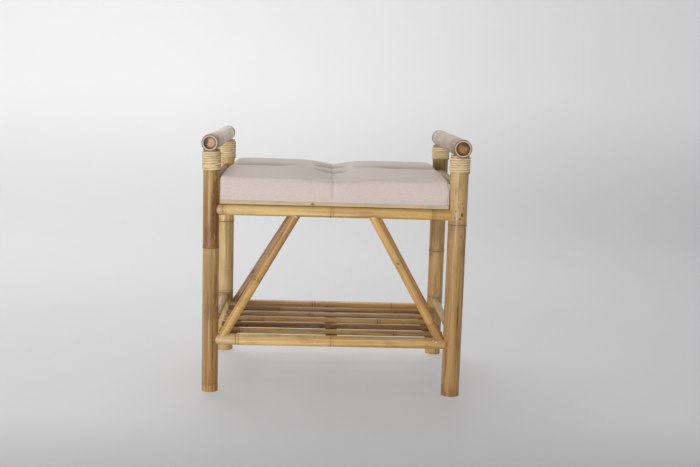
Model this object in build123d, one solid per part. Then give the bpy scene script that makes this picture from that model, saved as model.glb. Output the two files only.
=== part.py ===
from build123d import *
import math
import os

# Entryway bench of bamboo culms. Millimetres, +Z up, front towards -Y,
# origin on the floor in the middle of the four legs.

# Frame
leg_spacing_x = 530.0
leg_spacing_y = 350.0
leg_d = {"front_left": 35.0, "front_right": 40.0, "rear_left": 40.0, "rear_right": 38.0}
leg_wall = 6.0
arm_bottom = 526.8
arm_d = {"left": 35.0, "right": 38.0}
arm_wall = 5.0
arm_overhang = 40.0
saddle_depth = 3.0
seat_rail_z = 401.0
seat_rail_d = 24.5
shelf_rail_z = 115.5
shelf_rail_d = 24.4
seat_side_z = 462.0
side_rail_d = 18.0
stagger_gap = 0.3
brace_d = 20.0
brace_foot_in = 23.0
brace_head_x = {"front_left": 78.5, "front_right": 78.5, "rear_left": 66.0, "rear_right": 80.0}

# Culm nodes: a raised ring outside, and in the arm rails a thin wall inside, measured from the culm's start
node_rise = 0.8
node_width = 9.0
septum = 3.0
leg_node = {"front_left": 318.5, "front_right": 381.0, "rear_left": 328.0, "rear_right": 265.0}
arm_node = 11.0
seat_rail_node = 256.0

# Joints
joint_gap = 0.15
fit_gap = 0.1
rail_tenon = 10.0
side_tenon = 8.0
tenon_in_leg = 13.0
tenon_in_rail = 30.0
brace_peg = 6.0
peg_in_rail = 6.0
peg_in_brace = 22.0
plug_length = 40.0
plug_tenon = 13.0
plug_tenon_in_arm = 14.0

# Cane bindings round the post tops
cane_width = 5.8
cane_thick = 2.2
cane_gap = 0.6
cane_off_post = 0.2
cane_below_arm = 0.8
cane_samples = 6
cane_height = {"front_left": 44.8, "front_right": 38.4, "rear_left": 38.4, "rear_right": 32.0}

# Shelf
bearer_d = 26.0
bearer_lift = 1.5
slat_count = 5
slat_pitch = 56.0
slat_width = 27.0
slat_thick = 9.0
slat_culm_d = 40.0
slat_end_in = 15.0
slat_past_bearer = 27.0

# Seat
board_thick = 8.0
board_side_gap = 1.0
board_front_lap = 9.0
cushion_rest = 0.3
cushion_clear = 0.4
cushion_front_in = 2.0
cushion_edge_h = 52.0
cushion_crown = 18.0
cushion_valley = 8.0
cushion_bulge = 4.0
cushion_draw_in = 6.0
cushion_end_in = 8.0
cushion_edge_crown = 0.7
cushion_channel_crown = 0.25
cushion_steps = 4

# Places worked out from the sizes above
half_x = leg_spacing_x / 2
half_y = leg_spacing_y / 2
thickest_leg = max(leg_d.values())
arm_length = leg_spacing_y + 2 * arm_overhang
post_top = arm_bottom + saddle_depth
shelf_side_z = shelf_rail_z + (shelf_rail_d + side_rail_d) / 2 + stagger_gap
cane_pitch = cane_width + cane_gap
slat_bottom = shelf_rail_z + bearer_lift
slat_length = leg_spacing_x - 2 * slat_end_in
board_bottom = seat_rail_z + seat_rail_d / 2 + node_rise
board_x = leg_spacing_x - thickest_leg - 2 * board_side_gap
board_y = leg_spacing_y + 2 * board_front_lap
cushion_bottom = board_bottom + board_thick + cushion_rest
cushion_half_x = half_x - thickest_leg / 2 - cane_off_post - cane_thick - cushion_clear
cushion_half_y = board_y / 2 - cushion_front_in - cushion_bulge
corners = {"front_left": (-1, -1), "front_right": (1, -1), "rear_left": (-1, 1), "rear_right": (1, 1)}
sides = {"left": -1, "right": 1}
ends = {"front": -1, "rear": 1}
low = (Align.CENTER, Align.CENTER, Align.MIN)
os.makedirs("parts", exist_ok=True)


# Plane at a start point that looks along the way to an end point, and the distance
def way_between(start, end):
    axis = Vector(*end) - Vector(*start)
    return Plane(origin=start, z_dir=axis), axis.length


# Round and square bars between two points
def rod(start, end, diameter):
    plane, length = way_between(start, end)
    return plane * Cylinder(diameter / 2, length, align=low)


def bar(start, end, side):
    plane, length = way_between(start, end)
    return plane * Box(side, side, length, align=low)


# Solid culm between two points, with a raised ring at each node
def culm(start, end, diameter, nodes):
    plane, length = way_between(start, end)
    r = diameter / 2
    outline = [(0, 0), (r, 0)]
    for z in nodes:
        outline += [(r, z - node_width / 2), (r + node_rise, z), (r, z + node_width / 2)]
    outline += [(r, length), (0, length)]
    return plane * revolve(Plane.XZ * make_face(Polyline(*outline, close=True)), Axis.Z)


# Point on a leg's axis, and the room that the leg takes up
def on_leg(name, z):
    sx, sy = corners[name]
    return Vector(sx * half_x, sy * half_y, z)


def leg_room(name):
    return rod(on_leg(name, 0), on_leg(name, post_top), leg_d[name] + 2 * joint_gap)


# Front and rear rails run from left to right, side rails from front to rear, each between two legs
def rail_legs(place):
    if place in ends:
        return f"{place}_left", f"{place}_right"
    return f"front_{place}", f"rear_{place}"


mortises = []


# Rail with fish-mouth ends on the legs, and the loose tenon in each end
def rail(place, z, diameter, nodes, tenon):
    first, last = rail_legs(place)
    body = culm(on_leg(first, z), on_leg(last, z), diameter, nodes)
    tenons = []
    for leg, other in ((first, last), (last, first)):
        here = on_leg(leg, z)
        way = (on_leg(other, z) - here).normalized()
        inner = here + way * (leg_d[leg] / 2 - tenon_in_leg)
        outer = here + way * (leg_d[leg] / 2 + tenon_in_rail)
        mortise = bar(inner - way * fit_gap, outer + way * fit_gap, tenon + 2 * fit_gap)
        body -= leg_room(leg)
        body -= mortise
        mortises.append(mortise)
        tenons.append(bar(inner, outer, tenon))
    return body, tenons


# Front and rear rails, the side rails above them, and the room that is kept clear round each
rails = {}
room = {}
rail_nodes = {"front_seat_rail": (seat_rail_node,)}
for level, z, side_z, diameter in (("seat", seat_rail_z, seat_side_z, seat_rail_d),
                                   ("shelf", shelf_rail_z, shelf_side_z, shelf_rail_d)):
    tenons = []
    for end in ends:
        name = f"{end}_{level}_rail"
        nodes = rail_nodes.get(name, ())
        rails[name], pair = rail(end, z, diameter, nodes, rail_tenon)
        first, last = rail_legs(end)
        room[name] = culm(on_leg(first, z), on_leg(last, z), diameter + 2 * joint_gap, nodes)
        tenons += pair
    for side in sides:
        rails[f"{side}_{level}_rail"], pair = rail(side, side_z, side_rail_d, (), side_tenon)
        tenons += pair
    export_step(Compound(tenons), f"parts/{level}_rail_tenons.step")

# Braces: coped to both rails and to the leg, with a square peg in each end
pegs = []
for name, (sx, sy) in corners.items():
    end = name.split("_")[0]
    foot = Vector(sx * (half_x - brace_foot_in), sy * half_y, shelf_rail_z)
    head = Vector(sx * brace_head_x[name], sy * half_y, seat_rail_z)
    way = (head - foot).normalized()
    body = rod(foot, head, brace_d) - room[f"{end}_shelf_rail"] - room[f"{end}_seat_rail"] - leg_room(name)
    for spot, along, rail_name, rail_d in ((foot, way, f"{end}_shelf_rail", shelf_rail_d),
                                           (head, way * -1, f"{end}_seat_rail", seat_rail_d)):
        face = rail_d / 2 / way.Z
        tip = spot + along * (face - peg_in_rail)
        back = spot + along * (face + peg_in_brace)
        hole = bar(tip - along * fit_gap, back + along * fit_gap, brace_peg + 2 * fit_gap)
        pegs.append(bar(tip, back, brace_peg))
        body -= hole
        rails[rail_name] -= hole
    export_step(body, f"parts/{name}_brace.step")
export_step(Compound(pegs), "parts/brace_pegs.step")
for name, body in rails.items():
    export_step(body, f"parts/{name}.step")

# Shelf bearers: half-round, flat side up, between the front and rear rails
for name, place in (("left", -1), ("middle", 0), ("right", 1)):
    x = place * (slat_length / 2 - slat_past_bearer)
    body = rod((x, -half_y, slat_bottom), (x, half_y, slat_bottom), bearer_d)
    body = split(body, Plane.XY.offset(slat_bottom), keep=Keep.BOTTOM)
    body = body - room["front_shelf_rail"] - room["rear_shelf_rail"]
    export_step(body, f"parts/{name}_shelf_bearer.step")

# Shelf slats: strips split from a wide culm, round side up
for i in range(slat_count):
    y = (i - (slat_count - 1) / 2) * slat_pitch
    z = slat_bottom + slat_thick - slat_culm_d / 2
    strip = Pos(0, y, slat_bottom) * Box(slat_length, slat_width, slat_culm_d, align=low)
    body = rod((-slat_length / 2, y, z), (slat_length / 2, y, z), slat_culm_d)
    export_step(body & strip, f"parts/shelf_slat_{i + 1}.step")

# Arm rails: culms on the post tops, with open ends that a node closes a little way in
arms = {}
arm_saddles = {}
for side, sx in sides.items():
    z = arm_bottom + arm_d[side] / 2
    start = Vector(sx * half_x, -arm_length / 2, z)
    end = Vector(sx * half_x, arm_length / 2, z)
    arms[side] = culm(start, end, arm_d[side], (arm_node,))
    arm_saddles[side] = rod(start, end, arm_d[side] + 2 * joint_gap)
    for here, there in ((start, end), (end, start)):
        way = (there - here).normalized()
        arms[side] -= rod(here, here + way * (arm_node - septum / 2), arm_d[side] - 2 * arm_wall)

# Legs: hollow culms with a saddle for the arm rail, and a square plug in the top whose tenon holds the rail
plugs = []
plug_top = arm_bottom - fit_gap
tenon_top = arm_bottom + plug_tenon_in_arm
for name in corners:
    side = name.split("_")[1]
    foot, top = on_leg(name, 0), on_leg(name, post_top)
    leg_bore = leg_d[name] - 2 * leg_wall
    body = culm(foot, top, leg_d[name], (leg_node[name],)) - rod(foot, top, leg_bore) - arm_saddles[side]
    for mortise in mortises:
        body -= mortise
    export_step(body, f"parts/{name}_leg.step")
    plug_side = (leg_bore - 2 * fit_gap) / math.sqrt(2)
    plug = bar(on_leg(name, plug_top - plug_length), on_leg(name, plug_top), plug_side)
    plugs.append(plug + bar(on_leg(name, plug_top), on_leg(name, tenon_top), plug_tenon))
    socket = bar(on_leg(name, plug_top), on_leg(name, tenon_top + fit_gap), plug_tenon + 2 * fit_gap)
    arms[side] -= socket
export_step(Compound(plugs), "parts/post_plugs.step")
for side, body in arms.items():
    export_step(body, f"parts/{side}_arm_rail.step")

# Seat board, between the legs and on the front and rear rails
board = Pos(0, 0, board_bottom) * Box(board_x, board_y, board_thick, align=low)
export_step(board, "parts/seat_board.step")


# Cushion outline across the seat at one place along it: flat underside, bulged front and rear,
# and a crowned half each side of the cross channel
def cushion_outline(x, draw, crown):
    bottom = cushion_bottom + draw
    edge = cushion_bottom + cushion_edge_h - draw
    half = cushion_half_y - draw
    top = edge + cushion_crown * crown
    valley = top - cushion_valley * crown
    middle = (bottom + edge) / 2
    bulge = half + cushion_bulge
    outline = [Line((-half, bottom), (half, bottom)),
               ThreePointArc((half, bottom), (bulge, middle), (half, edge)),
               ThreePointArc((half, edge), (half / 2, top), (0, valley)),
               ThreePointArc((0, valley), (-half / 2, top), (-half, edge)),
               ThreePointArc((-half, edge), (-bulge, middle), (-half, bottom))]
    return Plane(origin=(x, 0, 0), x_dir=(0, 1, 0), z_dir=(1, 0, 0)) * make_face(outline)


# Half of the cushion, from its drawn-in end to the channel in the middle
outlines = [cushion_outline(-cushion_half_x, cushion_draw_in, cushion_edge_crown)]
span = cushion_half_x - cushion_end_in
for i in range(cushion_steps + 1):
    share = i / cushion_steps
    floor = cushion_edge_crown + (cushion_channel_crown - cushion_edge_crown) * share
    crown = floor + (1 - floor) * math.sin(math.pi * share) ** 0.7
    outlines.append(cushion_outline(-span * (1 - share), 0, crown))
half_cushion = loft(outlines, ruled=True)
export_step(half_cushion + mirror(half_cushion, Plane.YZ), "parts/seat_cushion.step")


# Place and heading on a binding's helix of radius r, at an angle in radians
def cane_point(r, angle):
    return Vector(r * math.cos(angle), r * math.sin(angle), cane_pitch * angle / (2 * math.pi))


def cane_heading(r, angle):
    climb = cane_pitch / (2 * math.pi)
    return Vector(-r * math.sin(angle), r * math.cos(angle), climb).normalized()


# Two tangent arcs between two places on the helix
def cane_biarc(r, a, b):
    p, q = cane_point(r, a), cane_point(r, b)
    u, v = cane_heading(r, a), cane_heading(r, b)
    chord = q - p
    both = u + v
    k = 4 - both.dot(both)
    half = chord.dot(both)
    reach = (math.sqrt(half ** 2 + k * chord.dot(chord)) - half) / k
    first = p + u * reach
    second = q - v * reach
    middle = (first + second) * 0.5
    way = (second - first).normalized()
    return [Edge.make_tangent_arc(p, u, middle), Edge.make_tangent_arc(middle, way, q)]


# One binding: a cane strip in one piece, flat inside and ridged outside, with a straight tail at each end
def binding(r, turns):
    last = 2 * math.pi * turns
    path = [Edge.make_line(cane_point(r, 0) - cane_heading(r, 0) * cane_width, cane_point(r, 0))]
    for i in range(2 * turns):
        path += cane_biarc(r, math.pi * i, math.pi * (i + 1))
    path.append(Edge.make_line(cane_point(r, last), cane_point(r, last) + cane_heading(r, last) * cane_width))
    start = path[0] @ 0
    finish = path[-1] @ 1
    axis = Edge.make_line((0, 0, start.Z), (0, 0, finish.Z))
    flat = -cane_thick / 2
    outline = Polyline((flat, -cane_width / 2), (-flat, 0), (flat, cane_width / 2), close=True)
    strip = Plane(origin=start, x_dir=(1, 0, 0), z_dir=cane_heading(r, 0)) * make_face(outline)
    spots = [arc @ (i / cane_samples) for arc in path[1:-1] for i in range(cane_samples)]
    half_turn = 2 * cane_samples
    apart = []
    for i, spot in enumerate(spots):
        apart += [(other - spot).length for other in spots[i + half_turn:]]
    print("binding of", turns, "turns, least gap to itself", round(min(apart) - cane_width, 3), "mm")
    return sweep(strip, path=Wire(path), binormal=axis)


bindings = {"front": [], "rear": []}
for name in corners:
    turns = max(1, round(cane_height[name] / cane_pitch))
    z = arm_bottom - cane_below_arm - cane_width / 2 - turns * cane_pitch
    cane_r = leg_d[name] / 2 + cane_off_post + cane_thick / 2
    bindings[name.split("_")[0]].append(Pos(on_leg(name, z)) * binding(cane_r, turns))
for end, group in bindings.items():
    export_step(Compound(group), f"parts/{end}_post_bindings.step")
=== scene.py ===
import math
import bpy
from mathutils import Matrix, Vector


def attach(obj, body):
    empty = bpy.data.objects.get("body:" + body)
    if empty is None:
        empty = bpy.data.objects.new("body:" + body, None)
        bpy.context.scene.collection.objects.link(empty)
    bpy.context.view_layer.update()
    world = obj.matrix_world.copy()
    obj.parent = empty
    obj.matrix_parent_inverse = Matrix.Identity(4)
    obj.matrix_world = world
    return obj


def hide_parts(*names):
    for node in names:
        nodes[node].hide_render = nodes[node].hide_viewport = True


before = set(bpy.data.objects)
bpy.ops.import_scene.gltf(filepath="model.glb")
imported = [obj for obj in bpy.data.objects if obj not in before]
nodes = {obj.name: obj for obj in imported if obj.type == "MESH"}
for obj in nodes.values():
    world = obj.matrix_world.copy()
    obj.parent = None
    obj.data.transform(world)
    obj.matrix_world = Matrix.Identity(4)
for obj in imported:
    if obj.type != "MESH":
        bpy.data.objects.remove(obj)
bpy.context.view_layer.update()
bpy.ops.object.select_all(action="DESELECT")
print("frame loaded:", len(nodes), "nodes")


# camera as in the photograph, angles in radians
photoView = {"lens": 51.943, "place": (-0.0382, -2.3293, 0.6783), "down": 0.1489, "right": 0.0334, "tilt": 0.0291}

bpy.ops.object.camera_add()
camera = bpy.context.object
camera.data.sensor_width = 36
camera.data.lens = photoView["lens"]
camera.matrix_world = (Matrix.Translation(photoView["place"])
                       @ Matrix.Rotation(-photoView["right"], 4, "Z")
                       @ Matrix.Rotation(math.pi / 2 - photoView["down"], 4, "X")
                       @ Matrix.Rotation(photoView["tilt"], 4, "Z"))
bpy.context.scene.camera = camera
bpy.context.scene.view_settings.view_transform = "Standard"
print("camera set")


# node helpers
def paint(rgb):  # screen colour 0-255 to a linear colour
    return tuple((c / 255 / 12.92 if c < 11 else ((c / 255 + 0.055) / 1.055) ** 2.4) for c in rgb) + (1.0,)


def addNode(tree, kind, inputs=None, **settings):
    made = tree.nodes.new("ShaderNode" + kind)
    for key, value in settings.items():
        setattr(made, key, value)
    for key, value in (inputs or {}).items():
        if isinstance(value, bpy.types.NodeSocket):
            tree.links.new(value, made.inputs[key])
        else:
            made.inputs[key].default_value = value
    return made


def maths(tree, operation, a, b=0.0, clamp=False):
    return addNode(tree, "Math", {0: a, 1: b}, operation=operation, use_clamp=clamp).outputs[0]


def times(tree, a, b):
    return maths(tree, "MULTIPLY", a, b)


def plus(tree, a, b):
    return maths(tree, "ADD", a, b)


def minus(tree, a, b):
    return maths(tree, "SUBTRACT", a, b)


def vectors(tree, operation, a, b=(0.0, 0.0, 0.0)):
    return addNode(tree, "VectorMath", {0: a, 1: b}, operation=operation).outputs


def split(tree, vector):  # x, y and z
    return addNode(tree, "SeparateXYZ", {0: vector}).outputs


def triple(tree, value):
    return addNode(tree, "CombineXYZ", {0: value, 1: value, 2: value}).outputs[0]


def mixColour(tree, factor, a, b, mode="MIX"):
    return addNode(tree, "Mix", {0: factor, 6: a, 7: b}, data_type="RGBA", blend_type=mode).outputs[2]


def mixVector(tree, factor, a, b):
    return addNode(tree, "Mix", {0: factor, 4: a, 5: b}, data_type="VECTOR").outputs[1]


def ease(tree, value, low, high, start=0.0, end=1.0):  # smooth step from low to high
    return addNode(tree, "MapRange", {"Value": value, "From Min": low, "From Max": high, "To Min": start,
                                      "To Max": end}, interpolation_type="SMOOTHSTEP").outputs[0]


def noise(tree, vector, scale, detail=2.0, rough=0.55, shift=(0.0, 0.0, 0.0)):  # one scale for each axis
    place = addNode(tree, "Mapping", {"Vector": vector, "Location": shift, "Scale": scale}).outputs[0]
    return addNode(tree, "TexNoise", {"Vector": place, "Scale": 1.0, "Detail": detail,
                                      "Roughness": rough}).outputs["Fac"]


def newGroup(name, inputs, outputs):
    group = bpy.data.node_groups.new(name, "ShaderNodeTree")
    for label, kind, value in inputs:
        socket = group.interface.new_socket(label, in_out="INPUT", socket_type="NodeSocket" + kind)
        socket.default_value = value
    for label, kind in outputs:
        group.interface.new_socket(label, in_out="OUTPUT", socket_type="NodeSocket" + kind)
    return group, group.nodes.new("NodeGroupInput").outputs, group.nodes.new("NodeGroupOutput").inputs


def placeGroup(tree, group, inputs):
    return addNode(tree, "Group", inputs, node_tree=group).outputs


# modelling helpers
def editAll():
    bpy.ops.object.mode_set(mode="EDIT")
    bpy.ops.mesh.select_all(action="SELECT")


def objectMode():
    bpy.ops.object.mode_set(mode="OBJECT")


def deselect():
    bpy.ops.object.select_all(action="DESELECT")


def applied(modifier):
    bpy.ops.object.modifier_apply(modifier=modifier.name)


def joinAll(parts):
    deselect()
    for part in parts:
        part.select_set(True)
    bpy.context.view_layer.objects.active = parts[0]
    bpy.ops.object.join()
    return bpy.context.object


# bamboo skin: long fibres, blotches and a fine grain, in a culm's own frame with z along it
def makeCulmSkin():
    tree, given, out = newGroup(
        "culmSkin",
        [("Place", "Vector", (0, 0, 0)), ("Colour", "Color", (0.5, 0.4, 0.2, 1)),
         ("Streak", "Color", (0.3, 0.2, 0.1, 1)), ("Streaks", "Float", 0.4),
         ("Blotch", "Color", (0.3, 0.2, 0.1, 1)), ("Blotches", "Float", 0.3), ("Seed", "Float", 0.0)],
        [("Colour", "Color"), ("Roughness", "Float"), ("Height", "Float")])
    place = vectors(tree, "ADD", given["Place"], triple(tree, given["Seed"]))[0]
    fine = noise(tree, place, (700, 700, 11), 3.0, 0.6)
    fibre = noise(tree, place, (230, 230, 4.5), 3.0, 0.6)
    broad = noise(tree, place, (75, 75, 3.2), 2.0)
    blotch = noise(tree, place, (42, 42, 16), 4.0, 0.62)
    streak = times(tree, ease(tree, plus(tree, fibre, broad), 0.92, 1.25), given["Streaks"])
    blotched = times(tree, ease(tree, blotch, 0.5, 0.68), given["Blotches"])
    colour = mixColour(tree, streak, given["Colour"], given["Streak"])
    colour = mixColour(tree, blotched, colour, given["Blotch"])
    pale = times(tree, ease(tree, fibre, 0.42, 0.3), 0.22)
    colour = mixColour(tree, pale, colour, (1.0, 0.93, 0.74, 1), "SCREEN")
    grain = ease(tree, fine, 0.3, 0.7, 0.9, 1.08)
    colour = mixColour(tree, 1.0, colour, triple(tree, grain), "MULTIPLY")
    rough = plus(tree, times(tree, blotch, 0.22), times(tree, fine, 0.14))
    tree.links.new(colour, out["Colour"])
    tree.links.new(plus(tree, rough, 0.24), out["Roughness"])
    height = plus(tree, times(tree, fibre, 0.6), times(tree, fine, 0.25))
    tree.links.new(plus(tree, height, times(tree, broad, 0.6)), out["Height"])
    return tree


# a culm node: the thin scar of the fallen sheath, a fainter second line and a soft ridge
def makeNodeRing():
    tree, given, out = newGroup(
        "nodeRing",
        [("Place", "Vector", (0, 0, 0)), ("Along", "Float", 0.0), ("Gap", "Float", 0.006), ("Second", "Float", 0.5)],
        [("Scar", "Float"), ("Dust", "Float"), ("Ridge", "Float")])
    wave = noise(tree, given["Place"], (55, 55, 1), 3.0)
    z = split(tree, given["Place"])[2]
    off = minus(tree, z, given["Along"])
    off = plus(tree, off, times(tree, minus(tree, wave, 0.5), 0.0018))
    first = maths(tree, "ABSOLUTE", off)
    after = maths(tree, "ABSOLUTE", minus(tree, off, given["Gap"]))
    strength = ease(tree, noise(tree, given["Place"], (160, 160, 30)), 0.3, 0.6, 0.55, 1.0)
    scar = ease(tree, first, 0.0003, 0.0012, 1.0, 0.0)
    second = times(tree, ease(tree, after, 0.0003, 0.0011, 1.0, 0.0), given["Second"])
    scar = times(tree, maths(tree, "MAXIMUM", scar, second), strength)
    tree.links.new(scar, out["Scar"])
    tree.links.new(ease(tree, first, 0.001, 0.011, 1.0, 0.0), out["Dust"])
    middle = maths(tree, "ABSOLUTE", minus(tree, off, times(tree, given["Gap"], 0.5)))
    ridge = minus(tree, ease(tree, middle, 0.001, 0.006, 1.0, 0.0), times(tree, scar, 0.8))
    tree.links.new(ridge, out["Ridge"])
    return tree


# a stain, pit, crack, bud scar or painted shadow: a soft ellipsoid with a ragged rim
def makeSkinMark():
    tree, given, out = newGroup(
        "skinMark",
        [("Place", "Vector", (0, 0, 0)), ("Centre", "Vector", (0, 0, 0)), ("Size", "Vector", (0.01, 0.01, 0.01)),
         ("Ragged", "Float", 0.4)], [("Mask", "Float")])
    off = vectors(tree, "SUBTRACT", given["Place"], given["Centre"])[0]
    far = vectors(tree, "LENGTH", vectors(tree, "DIVIDE", off, given["Size"])[0])["Value"]
    ragged = noise(tree, given["Place"], (300, 300, 80), 3.0)
    ragged = times(tree, minus(tree, ragged, 0.5), given["Ragged"])
    tree.links.new(ease(tree, plus(tree, far, times(tree, ragged, 2.0)), 0.55, 1.0, 1.0, 0.0), out["Mask"])
    return tree


culmSkin = makeCulmSkin()
nodeRing = makeNodeRing()
skinMark = makeSkinMark()


def newMaterial(name):
    made = bpy.data.materials.new(name)
    made.use_nodes = True
    tree = made.node_tree
    tree.nodes.clear()
    shader = addNode(tree, "BsdfPrincipled")
    output = addNode(tree, "OutputMaterial")
    tree.links.new(shader.outputs[0], output.inputs[0])
    return made, tree, shader


def wire(tree, shader, colour, rough, bump=None):  # bump: what its node takes
    inputs = {"Base Color": colour, "Roughness": rough}
    if bump:
        inputs["Normal"] = addNode(tree, "Bump", bump).outputs[0]
    for key, value in inputs.items():
        tree.links.new(value, shader.inputs[key])


def dress(piece, material):
    piece.data.materials.clear()
    piece.data.materials.append(material)


# what a bamboo culm has unless its own dictionary says otherwise
plainCulm = {"streak": (108, 70, 36), "streaks": 0.4, "blotch": (122, 84, 46), "blotches": 0.3, "seed": 0.0,
             "rings": (), "ringDust": (150, 108, 66), "dustShare": 0.3, "ringScar": (84, 54, 30), "marks": (),
             "pith": (196, 150, 104), "boreWallShade": (120, 82, 48), "cutPale": (206, 180, 142), "cutDark": (150, 116, 80),
             "rimDark": (96, 68, 42), "fibreDeep": 0.22, "bumpDeep": 0.0009, "shine": 0.38, "coatRough": 0.3}


# one culm: start and end of its axis, colours along it, rings, marks and the cut faces
def culmMaterial(name, own):
    made, tree, shader = newMaterial(name)
    culm = {**plainCulm, **own}
    start, end = Vector(culm["start"]), Vector(culm["end"])
    turn = (end - start).to_track_quat("Z", "Y").to_euler()
    length = (end - start).length
    coords = addNode(tree, "TexCoord").outputs
    local = addNode(tree, "Mapping", {"Vector": coords["Object"], "Location": start, "Rotation": turn},
                    vector_type="TEXTURE").outputs[0]
    facing = addNode(tree, "Mapping", {"Vector": coords["Normal"], "Rotation": turn},
                     vector_type="TEXTURE").outputs[0]
    x, y, z = split(tree, local)
    faceX, faceY, faceZ = split(tree, facing)
    ramp = addNode(tree, "ValToRGB", {0: maths(tree, "DIVIDE", z, length)})
    stops = culm["colours"]
    while len(ramp.color_ramp.elements) < len(stops):
        ramp.color_ramp.elements.new(0.5)
    for element, (along, rgb) in zip(ramp.color_ramp.elements, stops):
        element.position = along / length
        element.color = paint(rgb)
    skin = placeGroup(tree, culmSkin, {"Place": local, "Colour": ramp.outputs[0], "Streak": paint(culm["streak"]),
                                       "Streaks": culm["streaks"], "Blotch": paint(culm["blotch"]),
                                       "Blotches": culm["blotches"], "Seed": culm["seed"]})
    colour = skin["Colour"]
    height = times(tree, skin["Height"], culm["fibreDeep"])
    for along, gap, second, dark in culm["rings"]:  # place, second line's distance, its strength, darkness
        mask = placeGroup(tree, nodeRing, {"Place": local, "Along": along, "Gap": gap, "Second": second})
        dust = times(tree, mask["Dust"], culm["dustShare"] * dark)
        colour = mixColour(tree, dust, colour, paint(culm["ringDust"]))
        colour = mixColour(tree, times(tree, mask["Scar"], dark), colour, paint(culm["ringScar"]))
        height = plus(tree, height, mask["Ridge"])
    across = maths(tree, "SQRT", plus(tree, times(tree, x, x), times(tree, y, y)))
    cut = ease(tree, maths(tree, "ABSOLUTE", faceZ), 0.6, 0.9)
    if "bore" in culm:  # pith inside; painted shade on the wall and in the corner of the hole
        bore = culm["bore"]
        inner = ease(tree, across, bore + 0.0004, bore + 0.0012, 1.0, 0.0)
        colour = mixColour(tree, inner, colour, paint(culm["pith"]))
        wall = times(tree, inner, minus(tree, 1.0, cut))
        corner = ease(tree, across, bore - 0.006, bore - 0.0005, 0.0, 0.75)
        wall = maths(tree, "MAXIMUM", wall, times(tree, inner, corner))
        colour = mixColour(tree, wall, colour, paint(culm["boreWallShade"]))
        cut = times(tree, cut, minus(tree, 1.0, inner))
    for along, side, size, rgb, strength, ragged in culm["marks"]:
        centre = turn.to_matrix().inverted() @ Vector(side) + Vector((0, 0, along))
        mask = placeGroup(tree, skinMark, {"Place": local, "Centre": centre, "Size": size, "Ragged": ragged})["Mask"]
        colour = mixColour(tree, times(tree, mask, strength), colour, paint(rgb))
    pores = noise(tree, local, (1500, 1500, 1500), 1.0)
    face = mixColour(tree, ease(tree, pores, 0.5, 0.7), paint(culm["cutPale"]), paint(culm["cutDark"]))
    if "rim" in culm:  # dark skin round the cut face
        skinned = ease(tree, across, culm["rim"] - 0.0024, culm["rim"] - 0.0009, 0.0, 0.85)
        face = mixColour(tree, skinned, face, paint(culm["rimDark"]))
    colour = mixColour(tree, cut, colour, face)
    rough = plus(tree, skin["Roughness"], times(tree, cut, 0.3))
    # the long faces are shaded as one round culm
    radial = vectors(tree, "NORMALIZE", addNode(tree, "CombineXYZ", {0: x, 1: y}).outputs[0])[0]
    radial = addNode(tree, "Mapping", {"Vector": radial, "Rotation": turn}, vector_type="VECTOR").outputs[0]
    outward = plus(tree, times(tree, faceX, x), times(tree, faceY, y))
    outward = maths(tree, "DIVIDE", outward, maths(tree, "MAXIMUM", across, 0.001))
    normal = mixVector(tree, ease(tree, outward, 0.97, 0.985), coords["Normal"], radial)
    wire(tree, shader, colour, rough, {"Strength": 0.5, "Distance": culm["bumpDeep"], "Height": height,
                                       "Normal": normal})
    shader.inputs["Specular IOR Level"].default_value = culm["shine"]
    shader.inputs["Coat Weight"].default_value = 0.1 * culm["shine"]
    shader.inputs["Coat Roughness"].default_value = culm["coatRough"]
    return made


# legs: colours are (height, screen colour); marks are (height, side, size, colour, strength, ragged)
legX, legY, legTop = 0.265, 0.175, 0.5298
seatZ, shelfZ, sideSeatZ, sideShelfZ = 0.401, 0.1155, 0.462, 0.137
armY, braceX = 0.215, 0.242
streakDark, pitDark, stainDark = (106, 66, 34), (70, 44, 24), (104, 62, 30)
gluePale, scrapePale, dotPale = (238, 228, 208), (226, 204, 164), (226, 206, 170)


def pit(along, x, y, wide, tall, strength, colour=pitDark):  # a small spot on a leg
    return along, (x, y, 0), (wide, 0.004, tall), colour, strength, 0.5


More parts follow.
